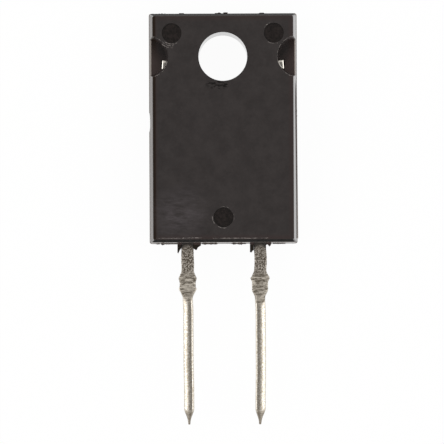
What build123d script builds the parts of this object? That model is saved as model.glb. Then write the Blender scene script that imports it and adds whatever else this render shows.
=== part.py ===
from build123d import *
import math
import os

# Power film resistor in a flat moulded package, in millimetres.
# The origin is on the mounting hole's axis, in the plane of the back, which goes against the
# heatsink. +Z leaves the front face, +Y points away from the leads.

# ---- Driving dimensions ----

# Ceramic plate and the layers fired onto it
substrate_side_cover = 0.65     # moulding left beside the plate, at the parting line
substrate_length = 10.0
substrate_thickness = 1.27
substrate_below_hole = 2.6      # from the hole's axis down to the plate's upper edge
print_thickness = 0.02          # each fired layer: film, terminations and overglaze
print_margin = 0.3              # bare ceramic above and below the terminations
film_margin = 0.45              # bare ceramic above and below the film
glaze_overlap = 0.14            # how far the overglaze runs past the film on every side
termination_inner_margin = 0.3  # how far a termination shows inside its lead's strip
solder_thickness = 0.1
solder_spread = 0.1             # how far the solder runs out beside the strip

# Leads, stamped from one strip
lead_pitch = 5.08
lead_thickness = 0.5
die_roll_radius = 0.05          # rounded edge that the die leaves on the back of the stamping
lead_length = 12.7              # from the moulding to the tip
neck_width = 0.85
neck_length = 1.94              # from the moulding to the stub of the dam bar
stub_flare = 0.5
stub_width = 1.12
stub_length = 0.88
burr_width = 1.3                # across the burrs that the shear leaves at the stub's upper end
burr_length = 0.24
stub_taper = 0.42
pin_flat_width = 0.03           # what is left flat on the front and back of the coined pin
pin_outer_shoulder = 0.53       # from the flat out to the pin's outer side
pin_inner_shoulder = 0.16       # from the flat in to the side that faces the other pin
tip_length = 1.05
tip_scale = 0.2                 # size of the blunted end against the pin's section
strip_width = 1.2               # inside the moulding
strip_side_cover = 0.86         # moulding left beside the strip, at the parting line
strip_top_below_hole = 0.13
strip_foot_height = 0.75        # from the moulding's lower edge up to the strip's foot
strip_bend_radius = 0.25

# Moulding
body_width = 10.4               # across the parting line
body_thickness = 3.2
hole_to_top = 3.14
hole_to_bottom = 13.06
mould_step = 0.02               # the back half of the mould is this much larger all round
front_draft = 8.5
back_draft = 5.0
corner_radius = 0.16
front_edge_radius = 0.05
hole_radius = 1.7
pocket_radius = 1.45            # side pockets, at the front face
pocket_outside = 0.34           # from the front face's edge out to the pocket's axis
ejector_radius = 0.69
ejector_depth = 0.08
ejector_side = 3.56             # the upper two marks, from the centre line
ejector_above_hole = 1.64
ejector_below_hole = 11.2
chip_length = 1.4
chip_depth = 0.11
chip_below_hole = 4.5
flash_thickness = 0.05

# Flash on the upper edge: distance from the centre line, length along the edge, reach
upper_flash = [(-2.9, 0.34, 0.04), (-0.4, 0.3, 0.04), (0.2, 0.3, 0.08), (2.75, 0.3, 0.05)]
# Flash on the lower edge, in the same order
lower_flash = [(-3.6, 1.1, 0.03), (-0.98, 1.04, 0.04), (1.08, 0.97, 0.03), (3.9, 0.9, 0.03)]
# The long fin down the right side: where it starts and ends below the hole, its reach
side_flash_start = 3.4
side_flash_end = 12.7
side_flash_reach = 0.05
# Broken resin beside the necks: lead, side of its neck, then points along the broken edge as
# the distance from the neck and the drop below the moulding
resin_webs = [
    (-1, -1, [(0, 0.29), (0.11, 0.43), (0.23, 0.67), (0.28, 0.6)]),
    (-1, 1, [(0, 0.32), (0.15, 0.43), (0.24, 0.41), (0.3, 0.25), (0.52, 0.12)]),
    (1, -1, [(0, 0.46), (0.09, 0.5), (0.17, 0.62), (0.27, 0.6)]),
    (1, 1, [(0, 0.1), (0.13, 0.06), (0.24, 0.21), (0.31, 0.15), (0.38, 0.03)]),
]

# ---- Sizes that follow ----

substrate_width = body_width - 2 * substrate_side_cover
substrate_top = -substrate_below_hole
substrate_bottom = substrate_top - substrate_length
substrate_centre = (substrate_top + substrate_bottom) / 2
print_level = substrate_thickness
solder_level = print_level + print_thickness
parting_level = solder_level + solder_thickness
lead_front = parting_level + lead_thickness
lead_centre = lead_pitch / 2

strip_outer_edge = body_width / 2 - strip_side_cover
strip_inner_edge = strip_outer_edge - strip_width
strip_centre = (strip_inner_edge + strip_outer_edge) / 2
strip_foot = -hole_to_bottom + strip_foot_height
strip_top = -strip_top_below_hole

termination_inner_edge = strip_inner_edge - termination_inner_margin
termination_outer_edge = strip_outer_edge + solder_spread
termination_length = substrate_length - 2 * print_margin
film_width = 2 * termination_inner_edge
film_length = substrate_length - 2 * film_margin

neck_end = -hole_to_bottom - neck_length
stub_start = neck_end - stub_flare
stub_end = stub_start - stub_length
pin_start = stub_end - stub_taper
pin_width = pin_outer_shoulder + pin_flat_width + pin_inner_shoulder
tip_end = -hole_to_bottom - lead_length
tip_start = tip_end + tip_length

body_length = hole_to_top + hole_to_bottom
body_centre = (hole_to_top - hole_to_bottom) / 2
front_height = body_thickness - parting_level
front_inset = mould_step + front_height * math.tan(math.radians(front_draft))
pocket_axis = body_width / 2 - front_inset + pocket_outside
pocket_depth = body_thickness - lead_front
chip_radius = (chip_length ** 2 / 4 + chip_depth ** 2) / (2 * chip_depth)
web_root = front_inset           # webs and flash start this far inside the edge

pieces = []


def finish(piece, name):
    """Name a finished piece and keep it for writing out."""
    piece.part.label = name
    pieces.append(piece.part)


# ---- Ceramic plate ----

with BuildPart() as ceramic_substrate:
    with BuildSketch():
        with Locations((0, substrate_centre)):
            Rectangle(substrate_width, substrate_length)
    extrude(amount=substrate_thickness)
finish(ceramic_substrate, "ceramic_substrate")

# ---- Printed and fired layers ----

with BuildPart() as right_termination:
    with BuildSketch(Plane.XY.offset(print_level)):
        with Locations(((termination_inner_edge + termination_outer_edge) / 2, substrate_centre)):
            Rectangle(termination_outer_edge - termination_inner_edge, termination_length)
    extrude(amount=print_thickness)
finish(right_termination, "right_termination")

with BuildPart() as left_termination:
    mirror(right_termination.part, about=Plane.YZ)
finish(left_termination, "left_termination")

with BuildPart() as resistor_film:
    with BuildSketch(Plane.XY.offset(print_level)):
        with Locations((0, substrate_centre)):
            Rectangle(film_width, film_length)
    extrude(amount=print_thickness)
finish(resistor_film, "resistor_film")

# The overglaze caps the film: it lies on it, laps over both terminations and runs down to the
# ceramic above and below.
with BuildPart() as glass_overglaze:
    with BuildSketch(Plane.XY.offset(print_level)):
        with Locations((0, substrate_centre)):
            Rectangle(film_width + 2 * glaze_overlap, film_length + 2 * glaze_overlap)
    extrude(amount=2 * print_thickness)
    for covered in (resistor_film, left_termination, right_termination):
        add(covered.part, mode=Mode.SUBTRACT)
finish(glass_overglaze, "glass_overglaze")

# ---- Solder ----

# The solder spreads out from under the strip to wet the termination.
with BuildPart() as right_solder:
    with BuildSketch(Plane.XY.offset(solder_level)):
        with Locations((strip_centre, substrate_centre)):
            Rectangle(strip_width + 2 * solder_spread, termination_length)
    extrude(amount=solder_thickness, taper=math.degrees(math.atan(solder_spread / solder_thickness)))
finish(right_solder, "right_solder")

with BuildPart() as left_solder:
    mirror(right_solder.part, about=Plane.YZ)
finish(left_solder, "left_solder")

# ---- Leads ----

# Section of the right pin about its centre: flat on both faces, with elliptical shoulders
with BuildSketch() as pin_section:
    with BuildLine():
        half_thickness = lead_thickness / 2
        outer_flat_end = pin_width / 2 - pin_outer_shoulder
        inner_flat_end = pin_inner_shoulder - pin_width / 2
        EllipticalCenterArc(
            (outer_flat_end, 0), pin_outer_shoulder, half_thickness, -90, arc_size=180
        )
        Line((outer_flat_end, half_thickness), (inner_flat_end, half_thickness))
        EllipticalCenterArc(
            (inner_flat_end, 0), pin_inner_shoulder, half_thickness, 90, arc_size=180
        )
        Line((inner_flat_end, -half_thickness), (outer_flat_end, -half_thickness))
    make_face()

with BuildPart() as right_lead:
    # Strip inside the moulding, its foot and the neck, in one stamped outline
    with BuildSketch(Plane.XY.offset(parting_level)):
        with BuildLine():
            neck_left = lead_centre - neck_width / 2
            neck_right = lead_centre + neck_width / 2
            Polyline(
                (neck_left, neck_end),
                (neck_left, strip_foot + strip_width),
                (strip_inner_edge, strip_foot + strip_width),
                (strip_inner_edge, strip_top),
                (strip_outer_edge, strip_top),
                (strip_outer_edge, strip_foot),
                (neck_right, strip_foot),
                (neck_right, neck_end),
                close=True,
            )
        make_face()
        bends = vertices().filter_by(lambda corner: strip_foot <= corner.Y <= strip_foot + strip_width)
        fillet(bends, strip_bend_radius)
    extrude(amount=lead_thickness)

    # Stub of the dam bar: flared from the neck out to the burrs, then straight where it was cut
    with BuildSketch(Plane.XY.offset(parting_level)):
        with BuildLine():
            for side in (-1, 1):
                Polyline(
                    (lead_centre, neck_end),
                    (lead_centre + side * neck_width / 2, neck_end),
                    (lead_centre + side * burr_width / 2, stub_start),
                    (lead_centre + side * stub_width / 2, stub_start - burr_length),
                    (lead_centre + side * stub_width / 2, stub_end),
                    (lead_centre, stub_end),
                )
        make_face()
    extrude(amount=lead_thickness)
    stamped_edges = right_lead.faces().sort_by(Axis.Z)[0].edges().sort_by(Axis.Y)
    fillet(stamped_edges[1:], die_roll_radius)

    # Pin: the stub's flat section is coined to an oval with a fuller outer shoulder, and the
    # oval is drawn down to a blunt point
    stub_plane = Plane(
        origin=(lead_centre, stub_end, parting_level + lead_thickness / 2),
        x_dir=(1, 0, 0),
        z_dir=(0, -1, 0),
    )
    pin_plane = stub_plane.offset(stub_taper)
    tip_plane = stub_plane.offset(stub_end - tip_start)
    with BuildSketch(stub_plane):
        Rectangle(stub_width, lead_thickness)
    with BuildSketch(pin_plane):
        add(pin_section.sketch)
    loft()
    with BuildSketch(pin_plane):
        add(pin_section.sketch)
    extrude(amount=pin_start - tip_start)
    with BuildSketch(tip_plane):
        add(pin_section.sketch)
    with BuildSketch(tip_plane.offset(tip_length)):
        add(pin_section.sketch)
        scale(by=tip_scale)
    loft()
finish(right_lead, "right_lead")

with BuildPart() as left_lead:
    mirror(right_lead.part, about=Plane.YZ)
finish(left_lead, "left_lead")

# ---- Moulding ----

with BuildPart() as moulded_body:
    # Back half, drafted towards the heatsink, and the slightly smaller front half
    with BuildSketch(Plane.XY.offset(parting_level)):
        with Locations((0, body_centre)):
            Rectangle(body_width, body_length)
    extrude(amount=-parting_level, taper=back_draft)
    with BuildSketch(Plane.XY.offset(parting_level)):
        with Locations((0, body_centre)):
            Rectangle(body_width - 2 * mould_step, body_length - 2 * mould_step)
    extrude(amount=front_height, taper=front_draft)
    levels = moulded_body.edges().group_by(Axis.Z)
    fillet(levels[1] + levels[3], corner_radius)
    fillet(moulded_body.faces().sort_by(Axis.Z)[-1].edges(), front_edge_radius)

    # Flash squeezed out along the parting line, thickest at the gate on the upper edge
    flash_plane = Plane.XY.offset(parting_level - flash_thickness)
    with BuildSketch(flash_plane):
        for edge, direction, row in ((hole_to_top, 1, upper_flash), (-hole_to_bottom, -1, lower_flash)):
            for across, length, reach in row:
                fin_height = reach + web_root
                with Locations((across, edge + direction * (reach - fin_height / 2))):
                    Rectangle(length, fin_height)
        with BuildLine():
            Polyline(
                (body_width / 2 - web_root, -side_flash_start),
                (body_width / 2, -side_flash_start),
                (body_width / 2 + side_flash_reach, -side_flash_end),
                (body_width / 2 - web_root, -side_flash_end),
                close=True,
            )
        make_face()
    extrude(amount=flash_thickness)

    # Broken resin between the mould's halves, beside the necks
    with BuildSketch(Plane.XY.offset(parting_level)):
        for lead, side, broken_edge in resin_webs:
            neck_side = lead * lead_centre + side * neck_width / 2
            broken_points = [
                (neck_side + side * distance, -hole_to_bottom - drop) for distance, drop in broken_edge
            ]
            with BuildLine():
                Polyline(
                    (neck_side, -hole_to_bottom + web_root),
                    *broken_points,
                    (broken_points[-1][0], -hole_to_bottom + web_root),
                    close=True,
                )
            make_face()
    extrude(amount=lead_thickness)

    # Chip in the left edge
    with Locations((-body_width / 2 - chip_radius + chip_depth, -chip_below_hole, parting_level)):
        Sphere(chip_radius, mode=Mode.SUBTRACT)

    # Mounting hole, right through
    with BuildSketch():
        Circle(hole_radius)
    extrude(amount=body_thickness, mode=Mode.SUBTRACT)

    # Side pockets, left by the pads that hold the leads down in the mould
    with BuildSketch(Plane.XY.offset(body_thickness)):
        with Locations((-pocket_axis, 0), (pocket_axis, 0)):
            Circle(pocket_radius)
    extrude(amount=-pocket_depth, taper=front_draft, mode=Mode.SUBTRACT)

    # Ejector marks in the front face
    with BuildSketch(Plane.XY.offset(body_thickness)):
        with Locations(
            (-ejector_side, ejector_above_hole),
            (ejector_side, ejector_above_hole),
            (0, -ejector_below_hole),
        ):
            Circle(ejector_radius)
    extrude(amount=-ejector_depth, mode=Mode.SUBTRACT)

    # The moulding fits round everything that is inside it
    for piece in pieces:
        add(piece, mode=Mode.SUBTRACT)
finish(moulded_body, "moulded_body")

# ---- Files ----

os.makedirs("parts", exist_ok=True)
for piece in pieces:
    export_step(piece, "parts/" + piece.label + ".step")
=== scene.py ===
import math

import bmesh
import bpy
from mathutils import Matrix, Vector, noise


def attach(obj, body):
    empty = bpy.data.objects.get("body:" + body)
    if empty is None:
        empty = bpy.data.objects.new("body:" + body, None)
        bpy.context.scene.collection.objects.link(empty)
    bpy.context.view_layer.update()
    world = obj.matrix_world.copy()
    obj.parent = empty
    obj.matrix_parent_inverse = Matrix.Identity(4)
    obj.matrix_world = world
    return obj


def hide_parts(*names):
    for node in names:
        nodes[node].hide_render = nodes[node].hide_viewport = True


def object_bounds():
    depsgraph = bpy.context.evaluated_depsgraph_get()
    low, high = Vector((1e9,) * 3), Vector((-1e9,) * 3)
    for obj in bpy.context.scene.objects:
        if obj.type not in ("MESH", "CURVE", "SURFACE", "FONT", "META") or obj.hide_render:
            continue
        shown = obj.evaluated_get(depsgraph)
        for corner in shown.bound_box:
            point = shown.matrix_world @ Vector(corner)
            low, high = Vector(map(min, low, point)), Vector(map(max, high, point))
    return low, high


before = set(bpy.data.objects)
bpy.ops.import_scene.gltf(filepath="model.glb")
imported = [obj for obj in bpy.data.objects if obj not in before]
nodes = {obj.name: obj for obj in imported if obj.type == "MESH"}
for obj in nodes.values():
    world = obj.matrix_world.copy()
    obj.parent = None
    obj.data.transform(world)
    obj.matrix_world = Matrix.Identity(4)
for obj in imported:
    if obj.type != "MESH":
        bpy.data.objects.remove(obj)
cad_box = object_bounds()
MM = 0.001

# ---- Ceramic plate ----
# A pressed and fired alumina plate, white and slightly granular, that carries the resistor and
# takes its heat. Its bare back lies flush in the moulding, against the heatsink.

ALUMINA_WHITE = "#E9E6DE"
ALUMINA_SHADE = "#D8D3C8"
GRAIN_SIZE = 0.12 * MM        # drawn coarser than the real grains, or they wouldn't show
GRAIN_HEIGHT = 0.01 * MM


def colour(hex_value):
    """The linear colour of an sRGB hex value, opaque."""
    parts = [int(hex_value[start:start + 2], 16) / 255 for start in (1, 3, 5)]
    linear = [part / 12.92 if part <= 0.04045 else ((part + 0.055) / 1.055) ** 2.4
              for part in parts]
    return (*linear, 1.0)


def start_material(name):
    """A new node material with its surface shader, ready for more nodes."""
    material = bpy.data.materials.new(name)
    material.use_nodes = True
    return material, material.node_tree.nodes["Principled BSDF"]


def add(owner, kind, settings=None, links=None):
    """Add one node: settings holds its properties and input values, links its wired inputs."""
    tree = owner.node_tree
    node = tree.nodes.new(kind)
    for key, value in (settings or {}).items():
        if isinstance(key, str) and hasattr(node, key):
            setattr(node, key, value)
        else:
            node.inputs[key].default_value = value
    for key, source in (links or {}).items():
        tree.links.new(source, node.inputs[key])
    return node


def wire(owner, shader, links):
    """Wire outputs into the named inputs of a shader."""
    for key, source in links.items():
        owner.node_tree.links.new(source, shader.inputs[key])


def dress(obj, material):
    """Give an object one material."""
    obj.data.materials.clear()
    obj.data.materials.append(material)


# Fired alumina, lapped on the back: chalky, with grains that only just show.
alumina, shader = start_material("alumina_fired_and_lapped")
shader.inputs["Roughness"].default_value = 0.55
shader.inputs["IOR"].default_value = 1.76
place = add(alumina, "ShaderNodeTexCoord")
grain = add(alumina, "ShaderNodeTexNoise", {"Scale": 1 / GRAIN_SIZE, "Detail": 4.0},
            {"Vector": place.outputs["Object"]})
tone = add(alumina, "ShaderNodeMix",
           {"data_type": "RGBA", 6: colour(ALUMINA_SHADE), 7: colour(ALUMINA_WHITE)},
           {0: grain.outputs["Fac"]})
relief = add(alumina, "ShaderNodeBump", {"Strength": 0.2, "Distance": GRAIN_HEIGHT},
             {"Height": grain.outputs["Fac"]})
wire(alumina, shader, {"Base Color": tone.outputs[2], "Normal": relief.outputs["Normal"]})
dress(nodes["ceramic_substrate"], alumina)

# ---- Resistive film, its overglaze and the terminations ----
# Three inks, screen printed on the plate one after the other and fired: silver for the
# terminations, ruthenium oxide for the film between them, and a green glass coat over the film.

FILM_BLACK = "#1E1D1C"
GLAZE_GREEN = "#2C4A37"
SILVER_GREY = "#C9C5BC"
MESH_SPACING = 0.09 * MM      # the print screen's threads
WEAVE_HEIGHT = 0.004 * MM


def screen_print(name, ink, roughness, metallic):
    """A fired ink with the faint weave that the screen leaves in its surface."""
    material, shader = start_material(name)
    shader.inputs["Base Color"].default_value = colour(ink)
    shader.inputs["Roughness"].default_value = roughness
    shader.inputs["Metallic"].default_value = metallic
    place = add(material, "ShaderNodeTexCoord")
    weave = add(material, "ShaderNodeTexVoronoi", {"Scale": 1 / MESH_SPACING},
                {"Vector": place.outputs["Object"]})
    relief = add(material, "ShaderNodeBump", {"Strength": 0.3, "Distance": WEAVE_HEIGHT},
                 {"Height": weave.outputs["Distance"]})
    wire(material, shader, {"Normal": relief.outputs["Normal"]})
    return material


# Fired inks: matt black for the film, glassy green over it, satin grey for the silver.
dress(nodes["resistor_film"], screen_print("ruthenium_oxide_film_fired", FILM_BLACK, 0.7, 0.0))
dress(nodes["glass_overglaze"], screen_print("green_overglaze_fired", GLAZE_GREEN, 0.15, 0.0))
silver_print = screen_print("silver_print_fired", SILVER_GREY, 0.4, 1.0)
for side in ("left", "right"):
    dress(nodes[side + "_termination"], silver_print)

# ---- Solder ----
# A tin alloy layer between each termination and its lead. It was reflowed in place, so it wets
# both of them, and it carries the current and some of the heat.

SOLDER_GREY = "#C4C4C0"
FROST_SIZE = 0.15 * MM
FROST_HEIGHT = 0.01 * MM

# Reflowed solder: a bright metal, slightly frosted where it froze.
solder, shader = start_material("tin_solder_reflowed")
shader.inputs["Base Color"].default_value = colour(SOLDER_GREY)
shader.inputs["Metallic"].default_value = 1.0
shader.inputs["Roughness"].default_value = 0.3
place = add(solder, "ShaderNodeTexCoord")
frost = add(solder, "ShaderNodeTexNoise", {"Scale": 1 / FROST_SIZE, "Detail": 3.0},
            {"Vector": place.outputs["Object"]})
relief = add(solder, "ShaderNodeBump", {"Strength": 0.3, "Distance": FROST_HEIGHT},
             {"Height": frost.outputs["Fac"]})
wire(solder, shader, {"Normal": relief.outputs["Normal"]})
for side in ("left", "right"):
    dress(nodes[side + "_solder"], solder)

# ---- Leads ----
# Two leads stamped from tinned copper strip. The neck and the sheared stub of the dam bar stay
# rough, dark resin clings to the neck where it leaves the moulding, and the pins were coined
# smooth down to a blunt point. Each one is the CAD lead with a finer, uneven skin.

TIN_LIGHT = "#F2EDE4"
TIN_TARNISHED = "#C3B9A8"
TIN_WORN = "#CBC4BA"          # between the neck's pits
TIN_PITTED = "#574F44"
TIN_CUT = "#D8D1C5"           # the stub's lighter shear marks, and its darker ones
# The darker shear tone also serves as painted shade at the stub's taper and the pin's tip
TIN_SHEARED_AND_SHADE = "#645C51"
RESIN_STAIN = "#231E19"

# Every length and height from here to the end of this section is in millimetres
LEAD_CENTRE = 2.54
PARTING_LEVEL = 1.39          # the mould's halves meet here, in the plane of the strip's back
STRIP_THICKNESS = 0.5
STRIP_TOP = -0.13
STRIP_SIDE = 4.34
COVERED = (-12.76, -1.7)      # between these heights the strip lies inside the moulding
SKIN_START = -13.08           # the worked skin starts just below the moulding
NECK_TO_STUB = (-14.95, -15.25)      # one kind of skin gives way to the next over these heights
STUB_TO_PIN = (-16.65, -17.25)
PIN_START = -16.75
PIN_WIDTH = 0.72
TIP_START = -24.71
TIP_LENGTH = 1.05
TIP_WAIST = 0.32              # how much the coining drew the tip's sides in, halfway down
SKIN_CELL = 0.036
SHEAR_WEAR = 14               # passes that round the edges left by the shear
FLAT_ANGLE = 0.02             # covered cells that lie flatter than this, in radians, are joined
# The strip's exposed corner slopes away at its top and its outer side: how far in, how steeply
# in degrees. Its outer side leans in too: how far, over what height, over what width
TOP_BEVEL = (0.18, 19)
SIDE_BEVEL = (0.1, 33)
BEVEL_FLOOR = PARTING_LEVEL + 0.1    # only the corner's front is bevelled
LEAN, LEAN_HEIGHT, LEAN_WIDTH = 0.05, 0.7, 0.4
# Each pin's ridge lies this near to its inner side, and the right one was pushed in further
CREST_INSET, CREST_SHIFT, CREST_FADE = 0.175, -0.05, 0.4
# Relief of the skin: its height, and the spacing of its lumps across, along and through the lead
NECK_PITS = (0.01, (0.13, 0.13, 0.13))
STUB_SHEAR = (0.009, (0.35, 0.08, 0.4))
STUB_PITS = (0.004, (0.13, 0.13, 0.13))
PIN_WAVES = (0.0015, (0.25, 2.0, 0.25))
CORNER_PITS = (0.002, (0.15, 0.15, 0.15))
LUMP_FALL = 0.9               # how much lower the finer lumps are, and how much closer together
LUMP_STEP = 2.0
# Slight bends of the pins: lead, where the bend starts and ends, how far it moves the rest across
BENDS = (("left", -16.9, -17.8, 0.04), ("left", -21.0, -23.5, 0.03),
         ("right", -16.9, -17.8, 0.035), ("right", -22.0, -24.2, -0.035))
# Where the shear pushed the metal's side in or out: lead, side, height, reach, half length
BURRS = (("left", -1, -16.22, 0.07, 0.12), ("left", 1, -16.24, 0.08, 0.1),
         ("right", -1, -15.5, 0.05, 0.08), ("right", 1, -15.42, 0.05, 0.2),
         ("right", 1, -14.2, 0.06, 0.7), ("right", -1, -14.2, -0.05, 0.7),
         ("left", -1, -14.1, 0.02, 0.4), ("left", 1, -14.5, 0.03, 0.4))
BURR_ROOT = (0.2, 0.4)        # a burr starts and is full this far from the lead's middle
PIT_SPACING = 0.1
SHEAR_SPACING = 0.5
RELIEF_HEIGHT = 0.025
TONGUE_BEND = -3.0            # how strongly the lower edge of the stub's torn metal curves
TONGUE_SLANT = 0.05           # and how much lower it reaches per length towards the right
HANG_BEND = 1.3               # how strongly the lower edge of the resin on the neck curves
HANG_WANDER = 0.5             # and how far it wanders with the pits


def step(value, start, end):
    """0 before start, 1 after end, and a smooth ramp between them."""
    share = min(max((value - start) / (end - start), 0.0), 1.0)
    return share * share * (3 - 2 * share)


def lumps(point, relief, octaves=3):
    """How far uneven metal stands out or in at a point, by a relief's height and spacing."""
    height, pitch = relief
    place = Vector((point.x / pitch[0], point.y / pitch[1], point.z / pitch[2]))
    return height * noise.fractal(place, LUMP_FALL, LUMP_STEP, octaves, noise_basis="PERLIN_ORIGINAL")


def skin_height(point):
    """How far the metal's surface stands out at a point of a lead, by how that part was worked."""
    on_stub = step(point.y, *NECK_TO_STUB)
    on_pin = step(point.y, *STUB_TO_PIN)
    stub = lumps(point, STUB_SHEAR) + lumps(point, STUB_PITS)
    worked = lumps(point, NECK_PITS) * (1 - on_stub) + stub * on_stub
    return worked * (1 - on_pin) + lumps(point, PIN_WAVES, 2) * on_pin


def bevel_corner(point):
    """Lower a point of the strip's exposed corner so that its top and outer edges slope away."""
    inset = LEAN * (1 - step(STRIP_TOP - point.y, 0, LEAN_HEIGHT))
    lean = inset * step(abs(point.x), STRIP_SIDE - LEAN_WIDTH, STRIP_SIDE)
    point.x -= math.copysign(lean, point.x)
    drop = 0.0
    for distance, (reach, slope) in ((STRIP_TOP - point.y, TOP_BEVEL),
                                     (STRIP_SIDE - inset - abs(point.x), SIDE_BEVEL)):
        drop = max(drop, (reach - distance) * math.tan(math.radians(slope)))
    point.z -= drop * (point.z - PARTING_LEVEL) / STRIP_THICKNESS
    point.z += lumps(point, CORNER_PITS) - CORNER_PITS[0]


def shift_crest(point, middle):
    """Move the ridge of the right pin's front and back further in, and leave its sides."""
    across = point.x - middle
    share = min((PIN_WIDTH / 2 + across) / CREST_INSET,
                (PIN_WIDTH / 2 - across) / (PIN_WIDTH - CREST_INSET))
    point.x += CREST_SHIFT * max(share, 0) * step(point.y, PIN_START, PIN_START - CREST_FADE)


def draw_in_tip(point, middle):
    """Narrow the pin's tip at a point, most about halfway down."""
    share = (TIP_START - point.y) / TIP_LENGTH
    if share > 0:
        waist = TIP_WAIST * math.sin(math.pi * min(share, 1) ** 2)
        point.x = middle + (point.x - middle) * (1 - waist)


def sideways_shift(point, side, middle):
    """How far the shear's burrs and the pin's bends move a point of a lead across."""
    shift = 0.0
    for lead, edge, level, reach, half in BURRS:
        if lead == side:
            near = step((point.x - middle) * edge, *BURR_ROOT)
            shift += edge * reach * near * math.exp(-((point.y - level) / half) ** 2)
    for lead, start, end, reach in BENDS:
        if lead == side:
            shift += reach * step(point.y, start, end)
    return shift


def round_shear(mesh):
    """Wear down the sharp edges of a lead's neck and stub."""
    worn = bmesh.new()
    worn.from_mesh(mesh)
    sheared = [vertex for vertex in worn.verts if PIN_START < vertex.co.y < SKIN_START]
    for _ in range(SHEAR_WEAR):
        bmesh.ops.smooth_vert(worn, verts=sheared, factor=0.5,
                              use_axis_x=True, use_axis_y=True, use_axis_z=True)
    worn.to_mesh(mesh)
    worn.free()


def work_skin(mesh, side):
    """Move each point of a lead's skin to where shearing, coining and bending left it."""
    middle = -LEAD_CENTRE if side == "left" else LEAD_CENTRE
    normals = [vertex.normal.copy() for vertex in mesh.vertices]
    for vertex, normal in zip(mesh.vertices, normals):
        point = vertex.co
        if point.y < SKIN_START:
            shift = sideways_shift(point, side, middle)
            if side == "right":
                shift_crest(point, middle)
            draw_in_tip(point, middle)
            vertex.co = point + normal * skin_height(point) + Vector((shift, 0, 0))
        elif point.y > COVERED[1] and point.z > BEVEL_FLOOR:
            bevel_corner(point)


def thin_covered(mesh):
    """Join the skin's small cells where the moulding covers them."""
    thin = bmesh.new()
    thin.from_mesh(mesh)
    hidden = [vertex for vertex in thin.verts if COVERED[0] < vertex.co.y < COVERED[1]]
    edges = [edge for edge in thin.edges
             if all(COVERED[0] < vertex.co.y < COVERED[1] for vertex in edge.verts)]
    bmesh.ops.dissolve_limit(thin, angle_limit=FLAT_ANGLE, verts=hidden, edges=edges)
    bmesh.ops.triangulate(thin, faces=[face for face in thin.faces if len(face.verts) > 4])
    thin.to_mesh(mesh)
    thin.free()


def replate(side):
    """Copy a CAD lead with an even skin of small cells, then work that skin."""
    source = nodes[side + "_lead"]
    piece = bpy.data.objects.new(side + "_lead_plated", source.data.copy())
    bpy.context.scene.collection.objects.link(piece)
    piece.data.transform(Matrix.Scale(1 / MM, 4))
    skin = piece.modifiers.new("skin", "REMESH")
    skin.mode = "VOXEL"
    skin.voxel_size = SKIN_CELL
    with bpy.context.temp_override(object=piece, active_object=piece, selected_objects=[piece]):
        bpy.ops.object.modifier_apply(modifier="skin")
    mesh = piece.data
    round_shear(mesh)
    work_skin(mesh, side)
    thin_covered(mesh)
    mesh.transform(Matrix.Scale(MM, 4))
    mesh.shade_smooth()
    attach(piece, "root")
    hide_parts(side + "_lead")
    return piece


# Tin plate: pitted on the neck, streaked across the stub, bright and smooth where it was coined.
tin, shader = start_material("copper_stamped_and_tin_plated")
place = add(tin, "ShaderNodeTexCoord")
spot = add(tin, "ShaderNodeSeparateXYZ", {}, {0: place.outputs["Object"]})
pits = add(tin, "ShaderNodeTexNoise",
           {"Scale": 1 / (PIT_SPACING * MM), "Detail": 2.0, "Roughness": 0.6},
           {"Vector": place.outputs["Object"]})
pitted = add(tin, "ShaderNodeMapRange", {"From Min": 0.42, "From Max": 0.64},
             {"Value": pits.outputs["Fac"]})
stretch = add(tin, "ShaderNodeMapping", {"Scale": (1.0, 5.0, 2.0)},
              {"Vector": place.outputs["Object"]})
shear_marks = add(tin, "ShaderNodeTexNoise",
                  {"Scale": 1 / (SHEAR_SPACING * MM), "Detail": 3.0, "Roughness": 0.75,
                   "Distortion": 0.5},
                  {"Vector": stretch.outputs["Vector"]})
sheared = add(tin, "ShaderNodeMapRange", {"From Min": 0.4, "From Max": 0.6},
              {"Value": shear_marks.outputs["Fac"]})

# How far a point lies from the lead's middle, squared, bends the end of the stub's torn metal
# and of the resin that bled out of the mould, further down at the neck's sides, into a curve
from_middle = add(tin, "ShaderNodeMath", {"operation": "ABSOLUTE"}, {0: spot.outputs["X"]})
to_side = add(tin, "ShaderNodeMath", {"operation": "SUBTRACT", 1: LEAD_CENTRE * MM},
              {0: from_middle.outputs[0]})
arch = add(tin, "ShaderNodeMath", {"operation": "MULTIPLY"},
           {0: to_side.outputs[0], 1: to_side.outputs[0]})
slanted = add(tin, "ShaderNodeMath", {"operation": "MULTIPLY_ADD", 1: TONGUE_SLANT},
              {0: spot.outputs["X"], 2: spot.outputs["Y"]})
tongue = add(tin, "ShaderNodeMath", {"operation": "MULTIPLY_ADD", 1: TONGUE_BEND / MM},
             {0: arch.outputs[0], 2: slanted.outputs[0]})
hang = add(tin, "ShaderNodeMath", {"operation": "MULTIPLY_ADD", 1: HANG_BEND / MM},
           {0: arch.outputs[0], 2: spot.outputs["Y"]})
ragged = add(tin, "ShaderNodeMath", {"operation": "MULTIPLY_ADD", 1: HANG_WANDER * MM},
             {0: pits.outputs["Fac"], 2: hang.outputs[0]})

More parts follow.
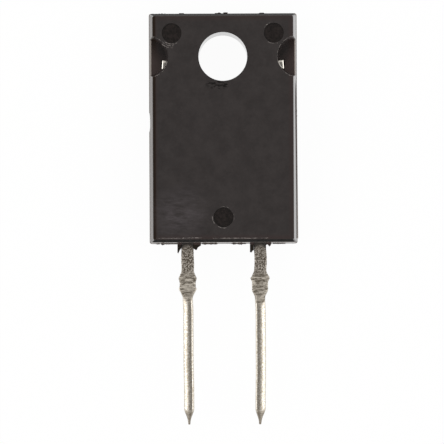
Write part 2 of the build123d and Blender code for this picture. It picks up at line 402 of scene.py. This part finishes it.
# Zones along the lead: the height measured, where it starts, where it is full, how strong it is
zone = {}
for name, height, start, full, strength in (
        ("outside", spot.outputs["Y"], -12.0, -12.5, 1.0),
        ("stained", ragged.outputs[0], -13.05, -12.8, 1.0),
        ("stub", spot.outputs["Y"], -14.9, -15.4, 1.0),
        # taper and tip: painted shade, the colour darkened towards the darker shear tone
        ("taper", spot.outputs["Y"], -16.1, -16.7, 0.35),
        ("pin", tongue.outputs[0], -17.15, -17.4, 1.0),
        ("tip", spot.outputs["Y"], -24.6, -25.0, 0.7)):
    ramp = add(tin, "ShaderNodeMapRange",
               {"From Min": start * MM, "From Max": full * MM, "To Max": strength},
               {"Value": height})
    zone[name] = ramp.outputs["Result"]
inside = add(tin, "ShaderNodeMath", {"operation": "SUBTRACT", 0: 1.0}, {1: zone["outside"]})
coined = add(tin, "ShaderNodeMath", {"operation": "MAXIMUM"},
             {0: zone["pin"], 1: inside.outputs[0]})
bright = add(tin, "ShaderNodeMath", {"operation": "MAXIMUM"},
             {0: pitted.outputs["Result"], 1: inside.outputs[0]})
stain = add(tin, "ShaderNodeMath", {"operation": "MULTIPLY"},
            {0: zone["stained"], 1: zone["outside"]})
bare = add(tin, "ShaderNodeMath", {"operation": "SUBTRACT", 0: 1.0}, {1: stain.outputs[0]})

# Colour: two tones for each zone, with painted shade where the stub tapers and at the pin's tip
tones = {}
for name, dark, light, share in (("neck", TIN_PITTED, TIN_WORN, pitted.outputs["Result"]),
                                 ("stub", TIN_SHEARED_AND_SHADE, TIN_CUT, sheared.outputs["Result"]),
                                 ("pin", TIN_TARNISHED, TIN_LIGHT, bright.outputs[0])):
    tone = add(tin, "ShaderNodeMix", {"data_type": "RGBA", 6: colour(dark), 7: colour(light)},
               {0: share})
    tones[name] = tone.outputs[2]
for name, share in (("stub", zone["taper"]), ("pin", zone["tip"])):
    tone = add(tin, "ShaderNodeMix", {"data_type": "RGBA", 7: colour(TIN_SHEARED_AND_SHADE)},
               {0: share, 6: tones[name]})
    tones[name] = tone.outputs[2]
worked = add(tin, "ShaderNodeMix", {"data_type": "RGBA"},
             {0: zone["stub"], 6: tones["neck"], 7: tones["stub"]})
plated = add(tin, "ShaderNodeMix", {"data_type": "RGBA"},
             {0: coined.outputs[0], 6: worked.outputs[2], 7: tones["pin"]})
skin = add(tin, "ShaderNodeMix", {"data_type": "RGBA", 7: colour(RESIN_STAIN)},
           {0: stain.outputs[0], 6: plated.outputs[2]})

# The sheared metal scatters light, the coined pins mirror the room softly
torn = add(tin, "ShaderNodeMix", {"data_type": "FLOAT"},
           {0: zone["stub"], 2: pits.outputs["Fac"], 3: shear_marks.outputs["Fac"]})
torn_gloss = add(tin, "ShaderNodeMapRange", {"To Min": 0.7, "To Max": 0.4},
                 {"Value": torn.outputs[0]})
coined_gloss = add(tin, "ShaderNodeMix", {"data_type": "FLOAT", 2: 0.27, 3: 0.14},
                   {0: inside.outputs[0]})
sheen = add(tin, "ShaderNodeMix", {"data_type": "FLOAT"},
            {0: coined.outputs[0], 2: torn_gloss.outputs["Result"], 3: coined_gloss.outputs[0]})
roughened = add(tin, "ShaderNodeMapRange", {"To Min": 0.6, "To Max": 0.1},
                {"Value": coined.outputs[0]})
relief = add(tin, "ShaderNodeBump", {"Distance": RELIEF_HEIGHT * MM},
             {"Strength": roughened.outputs["Result"], "Height": torn.outputs[0]})
wire(tin, shader, {"Base Color": skin.outputs[2], "Metallic": bare.outputs[0],
                   "Roughness": sheen.outputs[0], "Normal": relief.outputs["Normal"]})
for side in ("left", "right"):
    dress(replate(side), tin)

# ---- Moulding ----
# One shot of black filled epoxy round the plate and the leads. The tool's front was spark
# eroded, so that face is matt; the ejector pins left smoother, darker discs, and the drafted
# walls were polished as the part slid out of the tool.

EPOXY_LIGHT = "#272120"       # faint clouds on the face
EPOXY_DARK = "#1B1413"
# The resin's other colours and its roughness, by surface, each covering the ones before it
EPOXY_COLOURS = {
    "margin": "#281714",          # redder along the edges
    "left_margin": "#1C0F05",     # browner and smoother still beside the left one
    "rubbed": "#0D0A09",          # spots that were rubbed smooth below the hole
    "scuffs_and_painted_light": "#494346",         # scuffs, and painted light: lighter grey at the face's lower left
    "disc": "#0D0705",            # left by the ejector pins
    "worn_disc": "#1F1816",       # and what was rubbed off on them
    "pocket_floor_painted_light": "#403432",    # painted light: lighter outwards and downwards on the pocket floors, away from the shade under their inner, upper rims
    "pocket_rim_painted_reflection": "#AAA29C",      # painted reflection: a light line along the pocket floors' outer edge
    "left_side": "#35251A",
    "band": "#968F89",            # painted reflection: light grey streaks on the lower end, above the parting line
    "upper_end": "#0B0706",       # the end walls are dull, the lower one only in front, and darker than the resin: painted shade
    "eroded_end": "#0B0706",
    "below_body": "#1C150A",      # webs and flash that broke off below the moulding
}
EPOXY_GLOSS = {
    "left_margin": 0.2,
    "rubbed": 0.2,
    "sunken": 0.25,
    "left_wall": 0.32,
    "right_wall": 0.14,
    "polished_end": 0.04,
    "upper_end": 1.0,
    "foot": 1.0,                  # of the right wall, above the long fin
    "eroded_end": 0.33,
    "hole_wall": 0.03,
}
# Every length and height from here to the end of this section is in millimetres
FACE_LEVEL = cad_box[1].z / MM
BODY_CENTRE = Vector((0, -4.96, 0))
FACE_HALF_SIZE = Vector((4.91, 7.81, 0))
SCUFF_CENTRE = Vector((-3.0, -10.9, 0))
RUB_CENTRE = Vector((-0.35, -1.95, FACE_LEVEL))
RUB_FLATTENING = 2.5          # the rubbed oval below the hole is this much wider than tall
POLISHED_BELOW = 1.98         # the lower end wall is smooth between the parting line and here
# The right wall's foot is dull up to a level, given at the hole's axis, that sinks downwards
FOOT_LEVEL = 2.34
FOOT_SLOPE = 0.055
EROSION_PIT = 0.12            # spark pits, drawn a little coarser than they are, to show
EROSION_DEPTH = 0.015
EPOXY_IOR = 1.55

# Filled epoxy: a matt brown black where the tool was eroded, glossier where it was polished.
epoxy, shader = start_material("black_epoxy_moulded_in_an_eroded_tool")
shader.inputs["IOR"].default_value = EPOXY_IOR
place = add(epoxy, "ShaderNodeTexCoord")
spot = add(epoxy, "ShaderNodeSeparateXYZ", {}, {0: place.outputs["Object"]})
facing = add(epoxy, "ShaderNodeSeparateXYZ", {}, {0: place.outputs["Normal"]})

# Measures: how far a point lies from the hole's axis, past the face's edges, from the marks
flat_place = add(epoxy, "ShaderNodeCombineXYZ", {}, {0: spot.outputs["X"], 1: spot.outputs["Y"]})
from_axis = add(epoxy, "ShaderNodeVectorMath", {"operation": "LENGTH"}, {0: flat_place.outputs[0]})
off_middle = add(epoxy, "ShaderNodeVectorMath", {"operation": "SUBTRACT", 1: BODY_CENTRE * MM},
                 {0: place.outputs["Object"]})
outwards = add(epoxy, "ShaderNodeVectorMath", {"operation": "ABSOLUTE"}, {0: off_middle.outputs[0]})
past_edge = add(epoxy, "ShaderNodeVectorMath", {"operation": "SUBTRACT", 1: FACE_HALF_SIZE * MM},
                {0: outwards.outputs[0]})
edge_distance = add(epoxy, "ShaderNodeSeparateXYZ", {}, {0: past_edge.outputs[0]})
nearest = add(epoxy, "ShaderNodeMath", {"operation": "MAXIMUM"},
              {0: edge_distance.outputs["X"], 1: edge_distance.outputs["Y"]})
turned_aside = add(epoxy, "ShaderNodeMath", {"operation": "ABSOLUTE"}, {0: facing.outputs["X"]})
outward_place = add(epoxy, "ShaderNodeMath", {"operation": "ABSOLUTE"}, {0: spot.outputs["X"]})
floor_slope = add(epoxy, "ShaderNodeMath", {"operation": "SUBTRACT"},
                  {0: outward_place.outputs[0], 1: spot.outputs["Y"]})
above_fin = add(epoxy, "ShaderNodeMath", {"operation": "MULTIPLY_ADD", 1: -FOOT_SLOPE},
                {0: spot.outputs["Y"], 2: spot.outputs["Z"]})
to_scuffs = add(epoxy, "ShaderNodeVectorMath", {"operation": "DISTANCE", 1: SCUFF_CENTRE * MM},
                {0: flat_place.outputs[0]})
from_rub = add(epoxy, "ShaderNodeVectorMath", {"operation": "SUBTRACT", 1: RUB_CENTRE * MM},
               {0: place.outputs["Object"]})
rub_place = add(epoxy, "ShaderNodeMapping", {"Scale": (1.0, RUB_FLATTENING, 1.0)},
                {"Vector": from_rub.outputs[0]})
rub_reach = add(epoxy, "ShaderNodeVectorMath", {"operation": "LENGTH"},
                {0: rub_place.outputs["Vector"]})
scuff_turn = add(epoxy, "ShaderNodeMapping",
                 {"Rotation": (0, 0, math.radians(50)), "Scale": (0.5, 2.2, 1.0)},
                 {"Vector": place.outputs["Object"]})

# Patterns: what each varies over, its largest marks, how many finer ones, how strong those are
pattern = {}
for name, over, size, finer, strength in (
        ("clouds", place.outputs["Object"], 1.0, 5.0, 0.8),
        ("rubs", rub_place.outputs["Vector"], 0.35, 2.0, 0.5),
        ("scuffs", scuff_turn.outputs["Vector"], 0.5, 4.0, 0.7),
        ("disc_marks", place.outputs["Object"], 0.22, 3.0, 0.7),
        ("erosion", place.outputs["Object"], EROSION_PIT, 3.0, 0.5)):
    marks = add(epoxy, "ShaderNodeTexNoise",
                {"Scale": 1 / (size * MM), "Detail": finer, "Roughness": strength},
                {"Vector": over})
    pattern[name] = marks.outputs["Fac"]

# Shares between 0 and 1, by how a point faces and by the patterns: where each starts and is full
shares = {}
for name, measured, start, full in (
        ("left_wall", facing.outputs["X"], -0.7, -0.9),
        ("right_wall", facing.outputs["X"], 0.7, 0.9),
        ("off_corner", turned_aside.outputs[0], 0.6, 0.3),
        ("turned_down", facing.outputs["Y"], -0.02, -0.2),
        ("turned_up", facing.outputs["Y"], 0.8, 0.95),
        ("upward", facing.outputs["Z"], 0.9, 0.98),
        ("clouds", pattern["clouds"], 0.38, 0.62),
        ("rub_spots", pattern["rubs"], 0.46, 0.56),
        ("scuff_marks", pattern["scuffs"], 0.34, 0.84),
        ("disc_marks", pattern["disc_marks"], 0.42, 0.6)):
    ramp = add(epoxy, "ShaderNodeMapRange", {"From Min": start, "From Max": full},
               {"Value": measured})
    shares[name] = ramp.outputs["Result"]
# Breaks the lower end's painted reflection into streaks
band_marks = add(epoxy, "ShaderNodeMapRange", {"From Min": 0.34, "From Max": 0.58, "To Min": 0.35},
                 {"Value": pattern["scuffs"]})
shares["band_marks"] = band_marks.outputs["Result"]

# Shares by where a point lies: the length measured, where each starts, where it is full
for name, measured, start, full in (
        ("front_half", spot.outputs["Z"], PARTING_LEVEL - 0.03, PARTING_LEVEL),
        ("upper_part", spot.outputs["Z"], POLISHED_BELOW - 0.1, POLISHED_BELOW + 0.15),
        ("in_pocket", spot.outputs["Z"], 2.6, 2.2),
        ("above_pocket", spot.outputs["Z"], 2.2, 2.6),
        ("below_face", spot.outputs["Z"], FACE_LEVEL - 0.02, FACE_LEVEL - 0.06),
        ("foot_top", spot.outputs["Y"], -1.5, -3.2),
        ("foot_end", spot.outputs["Y"], -12.6, -12.3),
        ("foot_height", above_fin.outputs[0], FOOT_LEVEL + 0.2, FOOT_LEVEL - 0.15),
        ("below_body", spot.outputs["Y"], -13.1, -13.14),
        ("left_margin", spot.outputs["X"], -4.64, -4.76),
        # the pocket floors' outer edge, where their painted reflection lies
        ("rim", outward_place.outputs[0], 5.0, 5.05),
        # how far the pocket floors' painted light reaches, outwards and downwards
        ("floor", floor_slope.outputs[0], 3.9, 5.1),
        ("hole_wall", from_axis.outputs["Value"], 1.74, 1.71),
        ("rub_zone", rub_reach.outputs["Value"], 0.95, 0.6),
        ("scuff_zone", to_scuffs.outputs["Value"], 2.3, 0.6)):
    ramp = add(epoxy, "ShaderNodeMapRange", {"From Min": start * MM, "From Max": full * MM},
               {"Value": measured})
    shares[name] = ramp.outputs["Result"]
margin = add(epoxy, "ShaderNodeMapRange",
             {"From Min": -0.42 * MM, "From Max": -0.12 * MM, "To Max": 0.7},
             {"Value": nearest.outputs[0]})
shares["margin"] = margin.outputs["Result"]
for name, axis, limit in (("at_end", "Y", -0.1), ("at_side", "X", -0.3)):
    beyond = add(epoxy, "ShaderNodeMath", {"operation": "GREATER_THAN", 1: limit * MM},
                 {0: edge_distance.outputs[axis]})
    shares[name] = beyond.outputs[0]

# Surfaces: each lies where all of its shares hold
for name, parts in (
        ("upper_end", ("turned_up", "at_end")),
        ("lower_end", ("turned_down", "off_corner", "at_end")),
        ("polished_end", ("lower_end", "front_half")),
        ("eroded_end", ("lower_end", "upper_part")),
        ("band", ("polished_end", "band_marks")),
        ("left_side", ("left_wall", "at_side")),
        ("foot", ("right_wall", "at_side", "front_half", "foot_height", "foot_top", "foot_end")),
        ("sunken", ("upward", "below_face")),
        ("disc", ("sunken", "above_pocket")),
        ("worn_disc", ("disc", "disc_marks")),
        ("pocket_floor_painted_light", ("sunken", "in_pocket", "floor")),
        ("pocket_rim_painted_reflection", ("sunken", "in_pocket", "rim")),
        ("rubbed", ("rub_zone", "rub_spots")),
        ("scuffs_and_painted_light", ("scuff_zone", "scuff_marks"))):
    product = shares[parts[0]]
    for part in parts[1:]:
        product = add(epoxy, "ShaderNodeMath", {"operation": "MULTIPLY"},
                      {0: product, 1: shares[part]}).outputs[0]
    shares[name] = product

# Colour: faint clouds, then one layer for each surface
tone = add(epoxy, "ShaderNodeMix",
           {"data_type": "RGBA", 6: colour(EPOXY_DARK), 7: colour(EPOXY_LIGHT)},
           {0: shares["clouds"]})
for name, resin in EPOXY_COLOURS.items():
    tone = add(epoxy, "ShaderNodeMix", {"data_type": "RGBA", 7: colour(resin)},
               {0: shares[name], 6: tone.outputs[2]})

# Gloss: matt face, smoother discs and side walls, dull end walls, glossy hole
sheen = add(epoxy, "ShaderNodeMix", {"data_type": "FLOAT", 2: 0.35, 3: 0.43},
            {0: shares["upward"]})
for name, roughness in EPOXY_GLOSS.items():
    sheen = add(epoxy, "ShaderNodeMix", {"data_type": "FLOAT", 3: roughness},
                {0: shares[name], 2: sheen.outputs[0]})

# Relief: the eroded skin's pits, which show most where it is matt. Those of the lower end wall
# are deep and terraced, so their facets face forwards
matt = add(epoxy, "ShaderNodeMapRange", {"From Min": 0.25, "From Max": 0.62, "To Max": 0.5},
           {"Value": sheen.outputs[0]})
relief = add(epoxy, "ShaderNodeBump", {"Distance": EROSION_DEPTH * MM},
             {"Strength": matt.outputs["Result"], "Height": pattern["erosion"]})
terraces = add(epoxy, "ShaderNodeMapRange",
               {"From Min": 0.35, "From Max": 0.65, "To Min": 0.78, "To Max": 0.96},
               {"Value": pattern["erosion"]})
terraced = add(epoxy, "ShaderNodeMath", {"operation": "MULTIPLY"},
               {0: shares["eroded_end"], 1: terraces.outputs["Result"]})
facets = add(epoxy, "ShaderNodeMix", {"data_type": "VECTOR", 5: (0.0, 0.0, 1.0)},
             {0: terraced.outputs[0], 4: relief.outputs["Normal"]})
surface = add(epoxy, "ShaderNodeVectorMath", {"operation": "NORMALIZE"}, {0: facets.outputs[1]})
wire(epoxy, shader, {"Base Color": tone.outputs[2], "Roughness": sheen.outputs[0],
                     "Normal": surface.outputs[0]})
dress(nodes["moulded_body"], epoxy)

# ---- Flash and lips ----
# Resin that crept between the tool's halves froze as a thin ragged edge along the parting line,
# and resin dragged up round the ejector pins and the pockets' rims left low, broken lips, coloured
# whitish grey as a painted highlight. All of it belongs to the moulding.

EPOXY_THIN = "#1E1512"
# Light greys for the lips and edge ridges: a painted highlight
EPOXY_LIP_HIGHLIGHT = "#8C8581"
EPOXY_LIP_DARK = "#2C2827"

# Every length and height from here to the end of this section is in millimetres
FLASH_CELL = 0.04
FLASH_ROOT = 0.05             # how deep the flash is seated in the moulding
FLASH_FRONT = PARTING_LEVEL - 0.004
FLASH_BACK = PARTING_LEVEL - 0.03
FLASH_THINNING = (0.01, 0.005)       # how much its front and its back close in at the outer edge
FLASH_WAVES = 5               # how many waves of its edge go to a millimetre
FLASH_SWAY = 1.6              # how far the largest waves go past the spread that a row gives
FLASH_NOTCH = -0.02           # it broke off no further in than this
FLASH_FADE = 0.1              # the share of its length over which either end runs out
RAGGED_FALL = 0.7             # how much lower the finer waves are, and how much closer together
RAGGED_STEP = 2.0
ROW_SPACING = 90              # keeps one row's waves unlike the next one's
LOWER_EDGE = -13.06
UPPER_EDGE = 3.14
RIGHT_EDGE = 5.2
DOWN, UP, RIGHT = (0, -1), (0, 1), (1, 0)
# Stretches of ragged flash: start, end, outward direction, mean reach, how much it varies
FLASHES = (((-4.9, LOWER_EDGE), (-3.3, LOWER_EDGE), DOWN, 0.02, 0.05),
           ((-1.6, LOWER_EDGE), (-0.4, LOWER_EDGE), DOWN, 0.045, 0.03),
           ((0.5, LOWER_EDGE), (1.6, LOWER_EDGE), DOWN, 0.04, 0.03),
           ((3.5, LOWER_EDGE), (4.3, LOWER_EDGE), DOWN, 0.02, 0.04),
           ((RIGHT_EDGE, -12.7), (RIGHT_EDGE, -3.2), RIGHT, 0.0, 0.015),
           ((-5.0, UPPER_EDGE), (-3.3, UPPER_EDGE), UP, 0.0, 0.03),
           ((-0.5, UPPER_EDGE), (0.45, UPPER_EDGE), UP, 0.03, 0.05),
           ((2.3, UPPER_EDGE), (3.1, UPPER_EDGE), UP, 0.015, 0.04))
LIP_STEP = 3                  # degrees between the points of a lip
LIP_WAVES = 6
LIP_SWAY = 0.012
LIP_PROFILE = (-0.5, -0.12, 0.12, 0.5)      # its foot and its crest, as shares of its width
LIP_FOOT = -0.01              # its foot is sunk this deep in the face
TORN, WORN = 1.2, 0.4         # how strongly a torn lip and an edge ridge rise and fall
SMEAR_SIZE = 0.2
LIP_SPOT_SIZE = 0.15           # the size of the lips' lighter and darker spots
LOWER_DISC, LEFT_DISC, RIGHT_DISC = (0.0, -11.2), (-3.56, 1.64), (3.56, 1.64)
LEFT_POCKET, RIGHT_POCKET = (-5.25, 0.0), (5.25, 0.0)
# Lips round discs and pockets: centre, radius, first and last bearing, height, width
LIPS = ((LOWER_DISC, 0.72, 238, 286, 0.05, 0.06), (LOWER_DISC, 0.74, 176, 214, 0.05, 0.06),
        (LOWER_DISC, 0.73, 60, 110, 0.02, 0.03), (LOWER_DISC, 0.73, -20, 20, 0.02, 0.03),
        (LEFT_DISC, 0.74, 225, 300, 0.035, 0.06), (LEFT_DISC, 0.86, 220, 280, 0.03, 0.05),
        (LEFT_DISC, 1.0, 228, 275, 0.025, 0.04), (RIGHT_DISC, 0.72, 110, 150, 0.04, 0.06),
        (RIGHT_DISC, 0.73, 230, 290, 0.015, 0.03),
        (LEFT_POCKET, 1.45, 38, 74, 0.02, 0.03), (LEFT_POCKET, 1.45, -72, -38, 0.02, 0.03),
        (RIGHT_POCKET, 1.45, 104, 200, 0.02, 0.03), (RIGHT_POCKET, 1.45, 222, 254, 0.02, 0.03))
# Straight ridges along the face's lower edge, a painted highlight of that edge in light grey: left
# and right end, distance below the hole, height, width
RIDGES = ((-0.75, 1.6, 12.66, 0.032, 0.06), (1.0, 3.1, 12.66, 0.014, 0.06),
          (-4.7, -2.4, 12.65, 0.006, 0.05), (-2.9, -1.5, 12.63, 0.009, 0.07))


def waves(point, per_length, row, octaves):
    """How far a ragged edge wanders at a point, unlike any other row's edge."""
    place = Vector((point.x * per_length, point.y * per_length, row * ROW_SPACING))
    return noise.fractal(place, RAGGED_FALL, RAGGED_STEP, octaves)


def close_strip(mesh, rows):
    """Cover a strip whose rows hold four points each, and close its ends."""
    for first, second in zip(rows, rows[1:]):
        for corner in range(4):
            after = (corner + 1) % 4
            mesh.faces.new((first[corner], first[after], second[after], second[corner]))
    mesh.faces.new(rows[0])
    mesh.faces.new(rows[-1])


def grow_flash(mesh, start, end, direction, reach, spread):
    """A thin strip along the parting line whose outer edge wanders in and out."""
    start, end, direction = Vector(start), Vector(end), Vector(direction)
    cells = max(int((end - start).length / FLASH_CELL), 3)
    rows = []
    for cell in range(cells + 1):
        share = cell / cells
        root = start.lerp(end, share) - direction * FLASH_ROOT
        sway = FLASH_SWAY * spread * waves(root, FLASH_WAVES, reach, 4)
        taper = min(share, 1 - share, FLASH_FADE) / FLASH_FADE
        out = root + direction * (FLASH_ROOT + max(reach + sway, FLASH_NOTCH) * taper)
        corners = ((root, FLASH_BACK), (root, FLASH_FRONT),
                   (out, FLASH_FRONT - FLASH_THINNING[0]), (out, FLASH_BACK + FLASH_THINNING[1]))
        rows.append([mesh.verts.new((spot.x * MM, spot.y * MM, level * MM))
                     for spot, level in corners])
    close_strip(mesh, rows)


def grow_ridge(mesh, line, height, width, ragged):
    """A low broken ridge on the face that follows a line of points and their sideways direction."""
    rows = []
    for number, (point, sideways) in enumerate(line):
        wander = waves(point, LIP_WAVES, height, 3)
        swell = math.sin(math.pi * number / (len(line) - 1))
        rise = max(height * swell * (1 + ragged * wander), 0.0)
        row = []
        for offset, up in zip(LIP_PROFILE, (LIP_FOOT, rise, rise, LIP_FOOT)):
            spot = point + sideways * (LIP_SWAY * wander + width * offset)
            row.append(mesh.verts.new((spot.x * MM, spot.y * MM, (FACE_LEVEL + up) * MM)))
        rows.append(row)
    close_strip(mesh, rows)


def grow_lip(mesh, centre, radius, first, last, height, width):
    """A ridge round part of a disc's or pocket's edge."""
    steps = max(int((last - first) / LIP_STEP), 6)
    line = []
    for number in range(steps + 1):
        bearing = math.radians(first + (last - first) * number / steps)
        outwards = Vector((math.cos(bearing), math.sin(bearing)))
        line.append((Vector(centre) + outwards * (radius + width / 2), outwards))
    grow_ridge(mesh, line, height, width, TORN)


def grow_edge_ridge(mesh, left, right, below_hole, height, width):
    """A ridge along the face's lower edge, which stands in for that edge's highlight."""
    steps = int((right - left) / FLASH_CELL)
    line = [(Vector((left + (right - left) * number / steps, -below_hole)), Vector(UP))
            for number in range(steps + 1)]
    grow_ridge(mesh, line, height, width, WORN)


def resin_piece(name, tables):
    """One mesh grown from every row of some tables, riding with the moulding."""
    mesh = bmesh.new()
    for grow, table in tables:
        for row in table:
            grow(mesh, *row)
    bmesh.ops.recalc_face_normals(mesh, faces=mesh.faces)
    data = bpy.data.meshes.new(name)
    mesh.to_mesh(data)
    mesh.free()
    piece = bpy.data.objects.new(name, data)
    bpy.context.scene.collection.objects.link(piece)
    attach(piece, "root")
    return piece


# Thin flash: the same epoxy, glossier because it froze against bare steel.
thin_resin, shader = start_material("black_epoxy_frozen_against_steel")
shader.inputs["IOR"].default_value = EPOXY_IOR
shader.inputs["Base Color"].default_value = colour(EPOXY_THIN)
place = add(thin_resin, "ShaderNodeTexCoord")
smear = add(thin_resin, "ShaderNodeTexNoise", {"Scale": 1 / (SMEAR_SIZE * MM), "Detail": 3.0},
            {"Vector": place.outputs["Object"]})
gloss = add(thin_resin, "ShaderNodeMapRange", {"To Min": 0.2, "To Max": 0.5},
            {"Value": smear.outputs["Fac"]})
wire(thin_resin, shader, {"Roughness": gloss.outputs["Result"]})
dress(resin_piece("parting_line_flash", ((grow_flash, FLASHES),)), thin_resin)

# Lips: the broken ridges are coloured light grey, a painted highlight, so they read lighter than the
# face.
lip_resin, shader = start_material("grey_epoxy_lips_with_painted_highlight")
shader.inputs["IOR"].default_value = EPOXY_IOR
place = add(lip_resin, "ShaderNodeTexCoord")
lip_spots = add(lip_resin, "ShaderNodeTexNoise", {"Scale": 1 / (LIP_SPOT_SIZE * MM), "Detail": 3.0},
              {"Vector": place.outputs["Object"]})
paler_spots = add(lip_resin, "ShaderNodeMapRange", {"From Min": 0.4, "From Max": 0.62},
             {"Value": lip_spots.outputs["Fac"]})
grey = add(lip_resin, "ShaderNodeMix",
           {"data_type": "RGBA", 6: colour(EPOXY_LIP_DARK), 7: colour(EPOXY_LIP_HIGHLIGHT)},
           {0: paler_spots.outputs["Result"]})
dullness = add(lip_resin, "ShaderNodeMapRange", {"To Min": 0.4, "To Max": 0.7},
               {"Value": lip_spots.outputs["Fac"]})
wire(lip_resin, shader, {"Base Color": grey.outputs[2], "Roughness": dullness.outputs["Result"]})
dress(resin_piece("moulded_lips", ((grow_lip, LIPS), (grow_edge_ridge, RIDGES))), lip_resin)

# ---- Table and studio ----
# A pale table under the part, two softboxes at its sides and a dome that is white at the
# horizon and dimmer overhead.

TABLE_WHITE = "#F9F9F9"
TABLE_SIZE = 2.0
TABLE_GAP = 0.01 * MM         # keeps the table's plane clear of the part's flat back
WHITE_SHARE = 0.96            # how much of the table shows plain white instead of lit
DOME_TINT = "#FFFDFB"
HORIZON_LEVEL = 1.06
OVERHEAD_LEVEL = 0.19
HORIZON_TOP = 0.77            # the dome fades between these heights, where its pole is at 1
POLE_CAP = 0.975
SOFTBOX_SIZE = 0.16
SOFTBOX_DISTANCE = 0.22
SOFTBOX_ELEVATION = 35
SOFTBOX_POWER = 0.08

# White laminate: it throws back plain white, and is clear from below, so that the part's back
# can be looked at.
bpy.ops.mesh.primitive_plane_add(size=TABLE_SIZE, location=(0, 0, cad_box[0].z - TABLE_GAP))
table = bpy.context.object
table.name = "table"
tabletop, shader = start_material("table_white_laminate")
shader.inputs["Base Color"].default_value = colour(TABLE_WHITE)
shader.inputs["Roughness"].default_value = 0.9
rays = add(tabletop, "ShaderNodeLightPath")
seen = rays.outputs["Is Camera Ray"]
for kind in ("Is Glossy Ray", "Is Transmission Ray"):
    seen = add(tabletop, "ShaderNodeMath", {"operation": "MAXIMUM"},
               {0: seen, 1: rays.outputs[kind]}).outputs[0]
white = add(tabletop, "ShaderNodeMath", {"operation": "MULTIPLY", 1: WHITE_SHARE}, {0: seen})
glow = add(tabletop, "ShaderNodeEmission", {"Strength": 1.0})
upper_side = add(tabletop, "ShaderNodeMixShader", {},
                 {0: white.outputs[0], 1: shader.outputs[0], 2: glow.outputs[0]})
seen_side = add(tabletop, "ShaderNodeNewGeometry")
clear = add(tabletop, "ShaderNodeBsdfTransparent")
both_sides = add(tabletop, "ShaderNodeMixShader", {},
                 {0: seen_side.outputs["Backfacing"], 1: upper_side.outputs[0],
                  2: clear.outputs[0]})
wire(tabletop, tabletop.node_tree.nodes["Material Output"], {"Surface": both_sides.outputs[0]})
dress(table, tabletop)

# The dome: tinned metal mirrors it white at its sides and grey on top.
dome = bpy.data.worlds.new("studio_dome")
bpy.context.scene.world = dome
dome.use_nodes = True
background = dome.node_tree.nodes["Background"]
background.inputs["Color"].default_value = colour(DOME_TINT)
position = add(dome, "ShaderNodeTexCoord")
height = add(dome, "ShaderNodeSeparateXYZ", {}, {0: position.outputs["Generated"]})
level = add(dome, "ShaderNodeMapRange",
            {"From Min": HORIZON_TOP, "From Max": POLE_CAP,
             "To Min": HORIZON_LEVEL, "To Max": OVERHEAD_LEVEL},
            {"Value": height.outputs["Z"]})
rays = add(dome, "ShaderNodeLightPath")
shown = add(dome, "ShaderNodeMix", {"data_type": "FLOAT", 3: 1.0},
            {0: rays.outputs["Is Camera Ray"], 2: level.outputs["Result"]})
wire(dome, background, {"Strength": shown.outputs[0]})


def softbox(name, azimuth):
    """A square lamp aimed at the part from a bearing round it."""
    lamp = bpy.data.lights.new(name, "AREA")
    lamp.size = SOFTBOX_SIZE
    lamp.energy = SOFTBOX_POWER
    holder = bpy.data.objects.new(name, lamp)
    bearing, rise = math.radians(azimuth), math.radians(SOFTBOX_ELEVATION)
    away = Vector((math.cos(bearing) * math.cos(rise), math.sin(bearing) * math.cos(rise),
                   math.sin(rise)))
    holder.location = (cad_box[0] + cad_box[1]) / 2 + away * SOFTBOX_DISTANCE
    holder.rotation_euler = away.to_track_quat("Z", "Y").to_euler()
    bpy.context.scene.collection.objects.link(holder)


softbox("softbox_left", 180)
softbox("softbox_right", 0)

# ---- Camera ----
# A long lens looks straight down on the front face, level with the lower half of the moulding,
# so the walls hardly show and nothing gets smaller with distance.

CAMERA_ABOVE_FRONT = 169 * MM
CAMERA_BELOW_HOLE = 11.53 * MM
CAMERA_SIDE = -0.11 * MM
CAMERA_TURN = -0.26           # degrees
NEAREST_SHOWN = 10 * MM
FOCAL_LENGTH = 196.8
SENSOR_WIDTH = 36

lens = bpy.data.cameras.new("camera")
lens.lens = FOCAL_LENGTH
lens.sensor_width = SENSOR_WIDTH
lens.clip_start = NEAREST_SHOWN
camera = bpy.data.objects.new("camera", lens)
camera.location = (CAMERA_SIDE, -CAMERA_BELOW_HOLE, cad_box[1].z + CAMERA_ABOVE_FRONT)
camera.rotation_euler = (0, 0, math.radians(CAMERA_TURN))
bpy.context.scene.collection.objects.link(camera)
bpy.context.scene.camera = camera
bpy.context.scene.view_settings.view_transform = "Standard"
